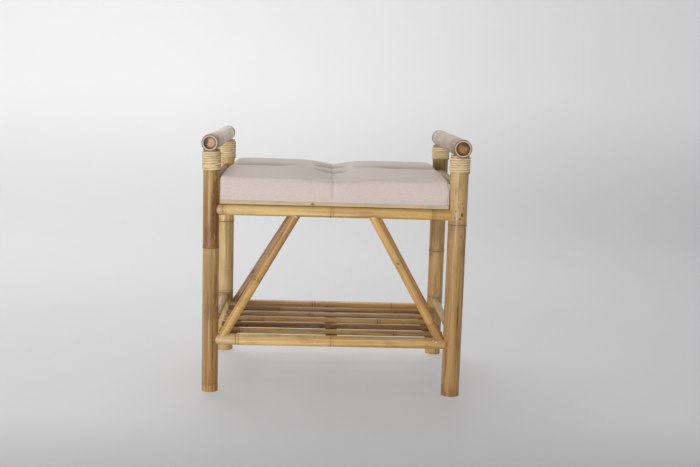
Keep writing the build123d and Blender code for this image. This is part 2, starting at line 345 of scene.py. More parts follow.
legs = {
    "front_left_leg": {
        "corner": (-1, -1), "bore": 0.0115, "seed": 0.0, "streaks": 0.45, "blotches": 0.45,
        "colours": [(0.0, (186, 139, 75)), (0.06, (172, 132, 77)), (0.3, (180, 146, 87)), (0.316, (192, 159, 99)),
                    (0.3195, (153, 105, 53)), (0.4, (163, 120, 64)), (0.47, (178, 141, 82))],
        "rings": [(0.3186, 0.006, 0.4, 0.9), (0.0175, 0.006, 0.3, 0.5)],
        "marks": [(0.4, (0.0105, -0.014, 0), (0.007, 0.012, 0.1), stainDark, 0.75, 0.8),
                  (0.385, (0.003, -0.0172, 0), (0.0035, 0.01, 0.06), (112, 66, 34), 0.7, 0.9),
                  (0.345, (-0.0085, -0.0153, 0), (0.0045, 0.01, 0.03), (104, 62, 32), 0.55, 1.0),
                  (0.43, (-0.003, -0.017, 0), (0.003, 0.01, 0.07), (186, 156, 96), 0.5, 0.8),
                  (0.18, (0.004, -0.017, 0), (0.02, 0.02, 0.026), (122, 88, 52), 0.5, 1.2),
                  (0.22, (0.0115, -0.0135, 0), (0.004, 0.01, 0.05), streakDark, 0.5, 0.9),
                  (0.19, (-0.0035, -0.017, 0), (0.0025, 0.01, 0.045), streakDark, 0.55, 0.9),
                  (0.105, (0.007, -0.016, 0), (0.0025, 0.01, 0.06), streakDark, 0.5, 0.9)]},
    "front_right_leg": {
        "corner": (1, -1), "bore": 0.014, "seed": 3.1, "streaks": 0.36, "blotches": 0.5,
        "colours": [(0.0, (166, 122, 81)), (0.025, (178, 139, 83)), (0.378, (182, 143, 87)), (0.384, (191, 156, 100)),
                    (0.45, (195, 164, 110))],
        "rings": [(0.381, 0.006, 0.4, 0.8)],
        "marks": [(0.178, (0.0072, -0.0187, 0), (0.0016, 0.008, 0.04), pitDark, 0.75, 0.6),
                  (0.2381, (0.0178, -0.0091, 0), (0.003, 0.006, 0.05), streakDark, 0.5, 0.9),
                  (0.08, (-0.0137, -0.0146, 0), (0.003, 0.006, 0.05), streakDark, 0.45, 0.9),
                  pit(0.4109, -0.0065, -0.0189, 0.002, 0.0035, 0.7),
                  pit(0.4037, 0.0067, -0.0188, 0.003, 0.006, 0.9),
                  pit(0.395, 0.0027, -0.0198, 0.003, 0.0035, 0.8),
                  pit(0.4278, 0.007, -0.0187, 0.0014, 0.003, 0.7, (104, 78, 44)),
                  pit(0.457, 0.0067, -0.0188, 0.0016, 0.0022, 0.7, (98, 82, 50)),
                  pit(0.3978, -0.008, -0.0183, 0.0016, 0.003, 0.6),
                  pit(0.4166, 0.0084, -0.0182, 0.0016, 0.003, 0.6),
                  pit(0.356, 0.0067, -0.0188, 0.0018, 0.003, 0.75),
                  pit(0.3321, 0.0056, -0.0192, 0.0016, 0.0025, 0.65)]},
    "rear_left_leg": {
        "corner": (-1, 1), "bore": 0.014, "seed": 5.7, "blotches": 0.35,
        "colours": [(0.0, (196, 166, 113)), (0.145, (180, 149, 103)), (0.152, (206, 178, 124)),
                    (0.325, (208, 178, 119)), (0.331, (223, 187, 122))],
        "rings": [(0.328, 0.006, 0.3, 0.8), (0.148, 0.006, 0.3, 0.7)],
        "marks": [(0.2093, (0.0061, -0.019, 0), (0.0016, 0.004, 0.0016), dotPale, 0.7, 0.3),
                  (0.2089, (0.0123, -0.0158, 0), (0.0016, 0.004, 0.0016), dotPale, 0.7, 0.3)]},
    "rear_right_leg": {
        "corner": (1, 1), "bore": 0.013, "seed": 8.2, "streaks": 0.5, "blotches": 0.4,
        "colours": [(0.0, (188, 153, 96)), (0.262, (193, 157, 100)), (0.268, (178, 147, 88)), (0.45, (158, 129, 77))],
        "rings": [(0.265, 0.006, 0.3, 0.8), (0.148, 0.006, 0.3, 0.7)],
        "marks": [(0.32, (-0.005, -0.018, 0), (0.012, 0.012, 0.05), streakDark, 0.35, 1.0)]},
}
for name, leg in legs.items():
    sx, sy = leg["corner"]
    leg["start"], leg["end"] = (sx * legX, sy * legY, 0.0), (sx * legX, sy * legY, legTop)
    dress(nodes[name], culmMaterial(name, leg))
print("legs dressed:", len(legs))


# rails run left to right or front to back
armSkin = {"streak": (140, 112, 80), "blotch": (140, 118, 88), "blotches": 0.35, "cutPale": (206, 184, 158),
           "cutDark": (158, 130, 102)}


def sideways(y, z):
    return {"start": (-legX, y, z), "end": (legX, y, z)}


def lengthways(x, reach, z):
    return {"start": (x, -reach, z), "end": (x, reach, z)}


rails = {
    "front_seat_rail": {
        **sideways(-legY, seatZ), "seed": 11.0, "streaks": 0.35, "blotches": 0.25,
        "colours": [(0.0, (201, 160, 119)), (0.026, (205, 167, 119)), (0.03, (220, 187, 123)), (0.254, (218, 180, 111)),
                    (0.262, (213, 175, 109)), (0.472, (211, 172, 104)), (0.478, (197, 157, 89))],
        "rings": [(0.026, 0.006, 0.4, 0.6), (0.256, 0.006, 0.7, 0.7), (0.475, 0.006, 0.4, 0.7)]},
    "front_shelf_rail": {
        **sideways(-legY, shelfZ), "seed": 13.0, "streaks": 0.35, "blotches": 0.3,
        "colours": [(0.0, (211, 179, 133)), (0.05, (218, 182, 125)), (0.06, (228, 188, 125)), (0.258, (220, 182, 119)),
                    (0.268, (222, 180, 107)), (0.48, (206, 167, 108))],
        "rings": [(0.056, 0.0065, 0.8, 0.7), (0.263, 0.006, 0.3, 0.7)],
        "marks": [(0.4935, (0, -0.0113, 0.0047), (0.0022, 0.0022, 0.0022), gluePale, 0.8, 0.6),
                  (0.5024, (0, -0.0094, 0.0077), (0.002, 0.002, 0.002), gluePale, 0.8, 0.6),
                  (0.487, (0, -0.0096, 0.0075), (0.0016, 0.0016, 0.0016), gluePale, 0.7, 0.6)]},
    "rear_seat_rail": {
        **sideways(legY, seatZ), "seed": 17.0,
        "colours": [(0.0, (196, 158, 104)), (0.17, (200, 164, 108)), (0.53, (192, 152, 94))],
        "rings": [(0.17, 0.006, 0.5, 0.7), (0.39, 0.006, 0.4, 0.7)]},
    "rear_shelf_rail": {
        **sideways(legY, shelfZ), "seed": 19.0, "streaks": 0.5, "blotches": 0.4,
        "colours": [(0.0, (181, 136, 86)), (0.216, (202, 160, 105)), (0.53, (192, 148, 90))],
        "rings": [(0.22, 0.0065, 0.8, 0.8), (0.42, 0.006, 0.3, 0.6)]},
    "left_seat_rail": {
        **lengthways(-legX, legY, sideSeatZ), "seed": 23.0,
        "colours": [(0.0, (146, 118, 76)), (0.35, (153, 122, 78))], "rings": [(0.2, 0.005, 0.4, 0.6)]},
    "right_seat_rail": {
        **lengthways(legX, legY, sideSeatZ), "seed": 29.0,
        "colours": [(0.0, (184, 150, 98)), (0.35, (178, 146, 94))], "rings": [(0.13, 0.005, 0.4, 0.6)]},
    "left_shelf_rail": {
        **lengthways(-legX, legY, sideShelfZ), "seed": 31.0, "streaks": 0.25, "blotches": 0.2,
        "colours": [(0.0, (202, 176, 134)), (0.35, (208, 182, 140))], "rings": [(0.24, 0.005, 0.4, 0.5)]},
    "right_shelf_rail": {
        **lengthways(legX, legY, sideShelfZ), "seed": 37.0, "streaks": 0.25, "blotches": 0.2,
        "colours": [(0.0, (202, 172, 128)), (0.35, (206, 178, 134))], "rings": [(0.1, 0.005, 0.4, 0.5)]},
    "left_arm_rail": {
        **lengthways(-legX, armY, 0.5443), "bore": 0.0125, "rim": 0.0175, "seed": 41.0, **armSkin,
        "colours": [(0.0, (150, 118, 80)), (0.034, (166, 136, 100)), (0.06, (204, 184, 158)), (0.4, (232, 221, 206)),
                    (0.412, (122, 99, 72))],
        "rings": [(0.0, 0.0, 0.0, 0.9), (0.011, 0.006, 0.4, 0.5), (0.3, 0.006, 0.4, 0.6)],
        "pith": (200, 156, 112), "boreWallShade": (92, 60, 36),
        # painted shadow on the left of the septum, in the hole
        "marks": [(0.0095, (-0.009, 0, 0.004), (0.007, 0.012, 0.006), (84, 52, 30), 0.8, 0.3)]},
    "right_arm_rail": {
        **lengthways(legX, armY, 0.5458), "bore": 0.014, "rim": 0.019, "seed": 43.0, **armSkin,
        "colours": [(0.0, (140, 100, 58)), (0.07, (160, 122, 72)), (0.078, (178, 157, 132)), (0.4, (186, 168, 148)),
                    (0.412, (108, 86, 62))],
        "rings": [(0.0, 0.0, 0.0, 0.9), (0.012, 0.005, 0.6, 0.85), (0.044, 0.006, 0.8, 0.8), (0.075, 0.006, 0.8, 0.95),
                  (0.34, 0.006, 0.4, 0.6)],
        "pith": (172, 126, 80), "boreWallShade": (84, 56, 32),
        # painted shadow on the septum, in the hole
        "marks": [(0.0095, (0.006, 0, 0.009), (0.013, 0.007, 0.006), (78, 50, 28), 0.75, 0.3)]},
}
for name, rail in rails.items():
    dress(nodes[name], culmMaterial(name, rail))
print("rails dressed:", len(rails))


# braces lean from the shelf rail up to the seat rail
braces = {
    "front_left_brace": {
        "start": (-braceX, -legY, shelfZ), "end": (-0.0785, -legY, seatZ), "seed": 47.0,
        "streaks": 0.5, "blotches": 0.35,
        "colours": [(0.0, (197, 160, 97)), (0.03, (205, 164, 92)), (0.15, (207, 166, 94)), (0.157, (191, 146, 85)),
                    (0.329, (187, 146, 88))],
        "rings": [(0.1536, 0.006, 0.3, 0.7)],
        "marks": [(0.26, (-0.004, -0.0087, 0.0024), (0.003, 0.003, 0.07), (128, 78, 42), 0.5, 0.9),
                  (0.3165, (0.0016, -0.0098, -0.0009), (0.007, 0.004, 0.0022), scrapePale, 0.6, 0.8)]},
    "front_right_brace": {
        "start": (braceX, -legY, shelfZ), "end": (0.0785, -legY, seatZ), "seed": 53.0,
        "colours": [(0.0, (178, 134, 78)), (0.047, (191, 144, 84)), (0.053, (203, 158, 93)), (0.329, (211, 169, 105))],
        "rings": [(0.0505, 0.006, 0.3, 0.7)],
        "marks": [(0.2046, (-0.0012, -0.0099, -0.0007), (0.002, 0.003, 0.003), pitDark, 0.7, 0.5),
                  (0.316, (-0.001, -0.0099, -0.0005), (0.007, 0.004, 0.0022), scrapePale, 0.6, 0.8)]},
    "rear_left_brace": {
        "start": (-braceX, legY, shelfZ), "end": (-0.066, legY, seatZ), "seed": 59.0, "streaks": 0.5, "blotches": 0.4,
        "colours": [(0.0, (170, 134, 106)), (0.335, (160, 124, 95))], "rings": [(0.0854, 0.006, 0.3, 0.7)],
        "marks": [(0.098, (-0.004, -0.0088, 0.0024), (0.003, 0.004, 0.008), pitDark, 0.75, 0.5)]},
    "rear_right_brace": {
        "start": (braceX, legY, shelfZ), "end": (0.08, legY, seatZ), "seed": 61.0, "streaks": 0.5, "blotches": 0.4,
        "colours": [(0.0, (232, 169, 103)), (0.33, (244, 176, 109))], "rings": [(0.14, 0.006, 0.3, 0.6)]},
}
for name, brace in braces.items():
    dress(nodes[name], culmMaterial(name, brace))
print("braces dressed:", len(braces))


# shelf: split strips on half-round bearers; the middle bearer's dark brown is painted shade
shelf = {"pitch": 0.056, "slatX": 0.25, "slatZ": 0.106, "slatShine": 0.08, "bearerZ": 0.117,
         "bearers": {"left_shelf_bearer": (-0.223, (178, 142, 94)), "middle_shelf_bearer": (0.0, (86, 58, 40)),
                     "right_shelf_bearer": (0.223, (178, 142, 94))}}
slats = {
    "shelf_slat_1": {"colours": [(0.0, (191, 152, 103)), (0.04, (179, 141, 93)), (0.05, (214, 181, 116)),
                                 (0.22, (214, 178, 114)), (0.5, (193, 154, 105))],
                     "rings": [(0.045, 0.006, 0.6, 0.7), (0.39, 0.006, 0.4, 0.6)]},
    "shelf_slat_2": {"colours": [(0.0, (140, 97, 54)), (0.14, (129, 89, 51)), (0.24, (165, 125, 75)),
                                 (0.5, (150, 109, 65))],
                     "rings": [(0.28, 0.006, 0.4, 0.6)], "blotch": (70, 46, 36), "blotches": 0.7},
    "shelf_slat_3": {"colours": [(0.0, (197, 150, 90)), (0.5, (197, 153, 94))],
                     "rings": [(0.36, 0.006, 0.6, 0.7), (0.09, 0.006, 0.3, 0.5)]},
    "shelf_slat_4": {"colours": [(0.0, (158, 122, 78)), (0.3, (180, 148, 102)), (0.5, (162, 127, 82))],
                     "rings": [(0.2, 0.006, 0.4, 0.6)]},
    "shelf_slat_5": {"colours": [(0.0, (128, 96, 62)), (0.122, (130, 101, 66)), (0.128, (158, 128, 89)),
                                 (0.5, (148, 116, 78))],
                     "rings": [(0.125, 0.006, 0.4, 0.8), (0.41, 0.006, 0.4, 0.6)]},
}
for i, (name, slat) in enumerate(slats.items()):
    y = (i - 2) * shelf["pitch"]
    slat["start"], slat["end"] = (-shelf["slatX"], y, shelf["slatZ"]), (shelf["slatX"], y, shelf["slatZ"])
    slat["seed"] = 67.0 + 7 * i
    slat["shine"] = shelf["slatShine"]
    slat.setdefault("blotches", 0.35)
    dress(nodes[name], culmMaterial(name, slat))
for name, (x, tone) in shelf["bearers"].items():
    bearer = {**lengthways(x, legY, shelf["bearerZ"]), "seed": 90.0 + 20 * x,
              "colours": [(0.0, tone), (0.35, tone)], "rings": [(0.16, 0.006, 0.4, 0.6)]}
    dress(nodes[name], culmMaterial(name, bearer))
print("shelf dressed")


# seat board: pale plies on the edge, long grain on the faces
plywood = {"pale": (199, 180, 147), "brown": (168, 140, 103), "low": 0.41405, "ply": 0.0027,
           "knot": (96, 66, 46), "knotAt": (-0.048, -0.184, 0.4176), "knotSize": (0.006, 0.004, 0.003)}
joinery = {"pale": (202, 164, 112), "brown": (162, 122, 78),
           "nodes": ("seat_rail_tenons", "shelf_rail_tenons", "brace_pegs", "post_plugs")}


def boardMaterial():
    made, tree, shader = newMaterial("plywood")
    coords = addNode(tree, "TexCoord").outputs
    z = split(tree, coords["Object"])[2]
    grain = noise(tree, coords["Object"], (14, 260, 260), 4.0, 0.6)
    ply = maths(tree, "FRACT", maths(tree, "DIVIDE", minus(tree, z, plywood["low"]), plywood["ply"]))
    ply = ease(tree, maths(tree, "ABSOLUTE", minus(tree, ply, 0.5)), 0.36, 0.5)
    colour = mixColour(tree, ease(tree, grain, 0.45, 0.75, 0.0, 0.6), paint(plywood["pale"]), paint(plywood["brown"]))
    colour = mixColour(tree, times(tree, ply, 0.35), colour, paint(plywood["brown"]))
    knot = placeGroup(tree, skinMark, {"Place": coords["Object"], "Centre": plywood["knotAt"],
                                       "Size": plywood["knotSize"], "Ragged": 0.3})["Mask"]
    colour = mixColour(tree, times(tree, knot, 0.8), colour, paint(plywood["knot"]))
    wire(tree, shader, colour, ease(tree, grain, 0.2, 0.8, 0.55, 0.75),
         {"Strength": 0.3, "Distance": 0.0004, "Height": grain})
    return made


# plain hardwood for the hidden tenons, pegs and plugs
def hardwoodMaterial():
    made, tree, shader = newMaterial("hardwood")
    coords = addNode(tree, "TexCoord").outputs
    grain = noise(tree, coords["Object"], (60, 300, 300), 3.0)
    wire(tree, shader, mixColour(tree, grain, paint(joinery["pale"]), paint(joinery["brown"])),
         ease(tree, grain, 0.2, 0.8, 0.5, 0.7))
    return made


dress(nodes["seat_board"], boardMaterial())
hardwood = hardwoodMaterial()
for name in joinery["nodes"]:
    dress(nodes[name], hardwood)
print("board and joinery dressed")


# cane bindings: one strand wound round each post top, its open ends closed with a face
bindings = {
    "front_post_cane": {"replaces": "front_post_bindings", "posts": [
        {"corner": (-1, -1), "radius": 0.0175, "low": 0.4816, "turns": 8, "cross": True},
        {"corner": (1, -1), "radius": 0.02, "low": 0.4905, "turns": 6}]},
    "rear_post_cane": {"replaces": "rear_post_bindings", "posts": [
        {"corner": (-1, 1), "radius": 0.02, "low": 0.4835, "turns": 8},
        {"corner": (1, 1), "radius": 0.019, "low": 0.4935, "turns": 6}]},
}
strand = {"thick": 0.0027, "sides": 12, "steps": 40, "lap": 0.97, "off": 0.0001, "wave": 0.00015,
          "high": 0.5262}
crossing = {"out": 0.72, "wide": 0.95, "thick": 0.8, "climb": 0.021, "turns": 0.62, "start": 2.2, "turned": 205}
caneColours = {"pale": (230, 207, 165), "tan": (212, 179, 126), "fibre": (176, 134, 84), "groove": (100, 66, 34)}


def windStrand(radius, width, thick, climb, turns, low):
    bpy.ops.mesh.primitive_circle_add(vertices=strand["sides"], radius=1.0, fill_type="NGON")
    wound = bpy.context.object
    editAll()
    bpy.ops.transform.resize(value=(thick / 2, width / 2, 1))
    bpy.ops.transform.rotate(value=-math.pi / 2, orient_axis="X", center_override=(0, 0, 0))
    bpy.ops.transform.translate(value=(radius + strand["off"] + thick / 2, 0, 0))
    objectMode()
    screw = wound.modifiers.new("wind", "SCREW")
    screw.axis, screw.angle, screw.screw_offset = "Z", 2 * math.pi * turns, climb * turns
    screw.steps = screw.render_steps = int(strand["steps"] * turns)
    applied(screw)
    for vertex in wound.data.vertices:
        vertex.co.z += low
    return wound


def closeStrand(wound):  # the open ends get a face, and all faces look outwards
    editAll()
    bpy.ops.mesh.remove_doubles(threshold=0.00001)
    bpy.ops.mesh.select_all(action="DESELECT")
    bpy.ops.mesh.select_non_manifold(extend=False, use_wire=False, use_multi_face=False, use_non_contiguous=False,
                                     use_verts=False)
    bpy.ops.mesh.edge_face_add()
    bpy.ops.mesh.select_all(action="SELECT")
    bpy.ops.mesh.normals_make_consistent(inside=False)
    objectMode()
    bpy.ops.object.shade_smooth()


def makeBinding(post):
    climb = (strand["high"] - post["low"]) / (post["turns"] + 1)
    wound = windStrand(post["radius"], climb * strand["lap"], strand["thick"], climb, post["turns"],
                       post["low"] + climb / 2)
    closeStrand(wound)
    parts = [wound]
    if post.get("cross"):  # a strand crosses over the lower turns
        thick = strand["thick"]
        over = windStrand(post["radius"] + thick * crossing["out"], climb * crossing["wide"], thick * crossing["thick"],
                          crossing["climb"], crossing["turns"], post["low"] + climb * crossing["start"])
        for vertex in over.data.vertices:
            vertex.co.xy = Matrix.Rotation(math.radians(crossing["turned"]), 2) @ vertex.co.xy
        closeStrand(over)
        parts.append(over)
    sx, sy = post["corner"]
    for part in parts:
        raised = part.data.attributes.new("raised", "FLOAT", "POINT")
        for vertex in part.data.vertices:  # 0 next to the post, 1 outside
            place = vertex.co
            raised.data[vertex.index].value = (place.xy.length - post["radius"]) / strand["thick"]
            place.z += strand["wave"] * math.sin(3 * math.atan2(place.y, place.x) + sx)
            place.x += sx * legX
            place.y += sy * legY
    return parts


def caneMaterial():
    made, tree, shader = newMaterial("cane")
    coords = addNode(tree, "TexCoord").outputs
    raised = addNode(tree, "Attribute", attribute_name="raised").outputs["Fac"]
    blotch = noise(tree, coords["Object"], (50, 50, 190), 3.0)
    fibre = noise(tree, coords["Object"], (90, 90, 1800), 2.0)
    colour = mixColour(tree, ease(tree, blotch, 0.42, 0.7), paint(caneColours["pale"]), paint(caneColours["tan"]))
    colour = mixColour(tree, ease(tree, fibre, 0.55, 0.8, 0.0, 0.2), colour, paint(caneColours["fibre"]))
    # painted shade between the turns, next to the post
    colour = mixColour(tree, ease(tree, raised, 0.9, 0.5, 0.0, 0.9), colour, paint(caneColours["groove"]))
    wire(tree, shader, colour, ease(tree, fibre, 0.2, 0.8, 0.45, 0.62),
         {"Strength": 0.25, "Distance": 0.0003, "Height": fibre})
    return made


cane = caneMaterial()
for name, binding in bindings.items():
    deselect()
    whole = joinAll([part for post in binding["posts"] for part in makeBinding(post)])
    whole.name = name
    dress(whole, cane)
    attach(whole, "frame")
    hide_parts(binding["replaces"])
print("bindings wound:", len(bindings))


# cushion: a puffed pad sewn down along the middle; a crease crosses it and forks into a V on each side of the seam
cushionShape = {"halfX": 0.2425, "halfY": 0.1835, "low": 0.4224, "edge": 0.4735, "seamX": -0.003, "cuts": 90,
                "section": [(-0.1835, 0.0), (-0.165, 0.003), (-0.14, 0.0068), (-0.11, 0.012), (-0.085, 0.0155),
                            (0.0, 0.0165), (0.09, 0.0175), (0.12, 0.0165), (0.15, 0.0115), (0.17, 0.006),
                            (0.1835, 0.0)],
                "bellyX": 0.0008, "bellyY": 0.0012, "leaning": 0.0035, "voxel": 0.0045,
                "frames": 20, "cap": 0.006, "groove": 0.0014, "hem": 0.016, "lip": 0.1858}
puff = {"quality": 6, "mass": 0.3, "tension_stiffness": 12, "compression_stiffness": 12, "shear_stiffness": 6,
        "bending_stiffness": 0.4, "use_pressure": True, "uniform_pressure_force": 4.0}
# depths and half widths of the folds, and how far from the seam the fork reaches
folds = {"crease": 0.027, "creaseWide": 0.028, "faint": 0.3, "fork": 0.014, "forkWide": 0.016, "forkLeft": 0.062,
         "forkRight": 0.048, "forkNear": 0.02, "forkOpen": 0.03, "forkSpan": 0.07, "paintedShadeAt": 0.012,
         "pull": 0.0135, "pullWide": 0.11}


def smoothStep(value):
    value = max(0.0, min(1.0, value))
    return value * value * (3 - 2 * value)


def sectionHeight(y):  # front to back, without seam and folds
    points = cushionShape["section"]
    for (y0, z0), (y1, z1) in zip(points, points[1:]):
        if y <= y1:
            return z0 + (z1 - z0) * max(0.0, y - y0) / (y1 - y0)
    return 0.0


def forkPlace(x):  # distance of the fork's valleys from the middle, and how strong they are
    aside = abs(x - cushionShape["seamX"])
    reach = folds["forkLeft"] if x < cushionShape["seamX"] else folds["forkRight"]
    valley = folds["forkNear"] + folds["forkOpen"] * (1 - aside / folds["forkSpan"])
    return valley, smoothStep((reach - aside) / (0.8 * reach))


def creaseStrength(x):  # the cross crease runs weakly into the fork
    aside = abs(x - cushionShape["seamX"])
    faint = folds["faint"]
    return (faint + (1 - faint) * smoothStep((aside - 0.085) / 0.05)) * smoothStep((aside - 0.04) / 0.035)


def foldDepths(x, y):  # the cross crease, and the fork beside the seam
    main = creaseStrength(x) * math.exp(-(abs(y) / folds["creaseWide"]) ** 1.4)
    fork, strength = forkPlace(x)
    side = sum(math.exp(-(abs(y - valley) / folds["forkWide"]) ** 1.5) for valley in (fork, -fork))
    return main, side * strength


def paintedFoldShade(x, y):  # painted shade in the folds, wider on the slope behind each one
    fork, strength = forkPlace(x)
    shade = 0.0
    for valley, weight, behind, before in ((folds["paintedShadeAt"], creaseStrength(x), 0.03, 0.018),
                                           (fork, 0.8 * strength, 0.022, 0.01), (-fork, 0.8 * strength, 0.022, 0.01)):
        off = y - valley
        shade = max(shade, weight * math.exp(-(off / (behind if off > 0 else before)) ** 2))
    return shade * smoothStep((cushionShape["halfX"] - abs(x)) / 0.025)


def pillowTop(x, y):  # height of the top above the edge
    shape = cushionShape
    aside = abs(x - shape["seamX"])
    back = smoothStep((y + 0.1) / 0.2)
    ends = smoothStep((shape["halfX"] - abs(x)) / 0.016) ** 0.6
    toSeam = smoothStep(aside / (folds["pullWide"] - 0.03 * back)) ** (0.8 - 0.2 * back)
    pulled = (folds["pull"] - 0.004 * back) * (1 - toSeam)
    edges = 0.5 + 0.5 * smoothStep((shape["halfY"] - abs(y)) / 0.05)
    main, side = foldDepths(x, y)
    return (sectionHeight(y) - main * folds["crease"] - side * folds["fork"]) * ends - pulled * edges


def makeCushion():
    shape = cushionShape
    tall = shape["edge"] - shape["low"]
    bpy.ops.mesh.primitive_cube_add(size=2.0)
    made = bpy.context.object
    made.name = "linen_cushion"
    editAll()
    bpy.ops.transform.resize(value=(shape["halfX"], shape["halfY"], tall / 2))
    bpy.ops.transform.translate(value=(0, 0, shape["low"] + tall / 2))
    bpy.ops.mesh.subdivide(number_cuts=shape["cuts"])
    objectMode()
    for vertex in made.data.vertices:
        place = vertex.co
        up = (place.z - shape["low"]) / tall
        place.z += pillowTop(place.x, place.y) * smoothStep(up)
        belly = math.sin(math.pi * max(0.0, min(1.0, up)))
        place.y += math.copysign(shape["bellyY"] * belly * (abs(place.y) / shape["halfY"]) ** 12, place.y)
        place.x += math.copysign(shape["bellyX"] * belly * (abs(place.x) / shape["halfX"]) ** 12, place.x)
        if place.x < 0:  # the front left corner leans on the leg
            place.x -= shape["leaning"] * (place.x / shape["halfX"]) ** 4 * smoothStep((0.08 - place.y) / 0.2)
    remesh = made.modifiers.new("even", "REMESH")
    remesh.mode, remesh.voxel_size = "VOXEL", shape["voxel"]
    applied(remesh)
    upper = made.vertex_groups.new(name="upper")
    for vertex in made.data.vertices:
        upper.add([vertex.index], smoothStep((vertex.co.z - shape["low"] - 0.006) / 0.02), "REPLACE")
    smooth = made.modifiers.new("ease", "SMOOTH")
    smooth.factor, smooth.iterations, smooth.vertex_group = 0.5, 2, upper.name
    applied(smooth)
    made.vertex_groups.clear()
    return made


def puffCushion(made):  # air pressure swells the cover between its sewn lines
    shape = cushionShape
    before = [vertex.co.copy() for vertex in made.data.vertices]
    held = made.vertex_groups.new(name="sewn")
    for vertex in made.data.vertices:
        place = vertex.co
        under = 1 - smoothStep((place.z - shape["low"] - 0.004) / 0.014)
        seam = 1 - smoothStep(abs(place.x - shape["seamX"]) / 0.009)
        crease = (1 - smoothStep(abs(place.y) / 0.012)) * 0.9
        rim = max(abs(place.x) - shape["halfX"], abs(place.y) - shape["halfY"])
        rim = 0.6 * smoothStep(1 + rim / 0.012) * smoothStep((place.z - 0.455) / 0.012)
        held.add([vertex.index], max(under, seam, crease, rim), "REPLACE")
    cloth = made.modifiers.new("puff", "CLOTH")
    for key, value in puff.items():
        setattr(cloth.settings, key, value)
    cloth.settings.vertex_group_mass = held.name
    cloth.settings.effector_weights.gravity = 0
    cloth.collision_settings.use_collision = False
    scene = bpy.context.scene
    for step in range(1, shape["frames"] + 1):
        scene.frame_set(step)
    bpy.context.view_layer.objects.active = made
    applied(cloth)
    scene.frame_set(1)
    farthest = 0.0
    for vertex, start in zip(made.data.vertices, before):
        moved = vertex.co - start
        farthest = max(farthest, moved.length)
        if moved.length > shape["cap"]:
            vertex.co = start + moved.normalized() * shape["cap"]
    made.vertex_groups.clear()
    print("cushion swelled by", round(farthest * 1000, 1), "mm at most")


def finishCushion(made):  # crisp lower hem, one subdivision, then the sewn groove up the front and over the top
    shape = cushionShape
    mesh = made.data
    sharp = mesh.attributes.new("crease_edge", "FLOAT", "EDGE")
    for edge in mesh.edges:
        ends = [mesh.vertices[v].co for v in edge.vertices]
        rim = all(abs(c.y) > shape["halfY"] - 0.004 or abs(c.x) > shape["halfX"] - 0.004 for c in ends)
        if rim and all(c.z < shape["low"] + 0.002 for c in ends):
            sharp.data[edge.index].value = 1.0
    finer = made.modifiers.new("finer", "SUBSURF")
    finer.levels = finer.render_levels = 1
    applied(finer)
    normals = [vertex.normal.copy() for vertex in mesh.vertices]
    # painted shade in the folds, kept on the points for the linen
    paintedShade = mesh.attributes.new("paintedShade", "FLOAT", "POINT")
    for vertex, normal in zip(mesh.vertices, normals):
        paintedShade.data[vertex.index].value = paintedFoldShade(vertex.co.x, vertex.co.y) * smoothStep(normal.z / 0.4)
    for vertex, normal in zip(mesh.vertices, normals):
        near = 1 - smoothStep(abs(vertex.co.x - shape["seamX"]) / 0.006)
        if near > 0 and vertex.co.z > shape["low"] + 0.004 and (normal.y < -0.4 or normal.z > 0.4):
            vertex.co -= normal * shape["groove"] * near
        place = vertex.co
        hem = place.z - shape["low"]
        aside = abs(place.y)
        if hem < shape["hem"] and aside > shape["halfY"] - 0.008 and normal.z > -0.9:  # reaches over the board's edge
            out = max(aside, aside + (shape["lip"] - aside) * (1 - smoothStep(hem / shape["hem"])))
            place.y = math.copysign(out, place.y)
        if hem < 0.0005:
            place.z = shape["low"]
    bpy.ops.object.shade_smooth()


linen = {"pale": (228, 214, 205), "mid": (217, 203, 194), "dark": (198, 182, 172), "top": (200, 194, 180),
         "foldShadeColour": (124, 112, 98), "warp": 0.0011, "weft": 0.0012}


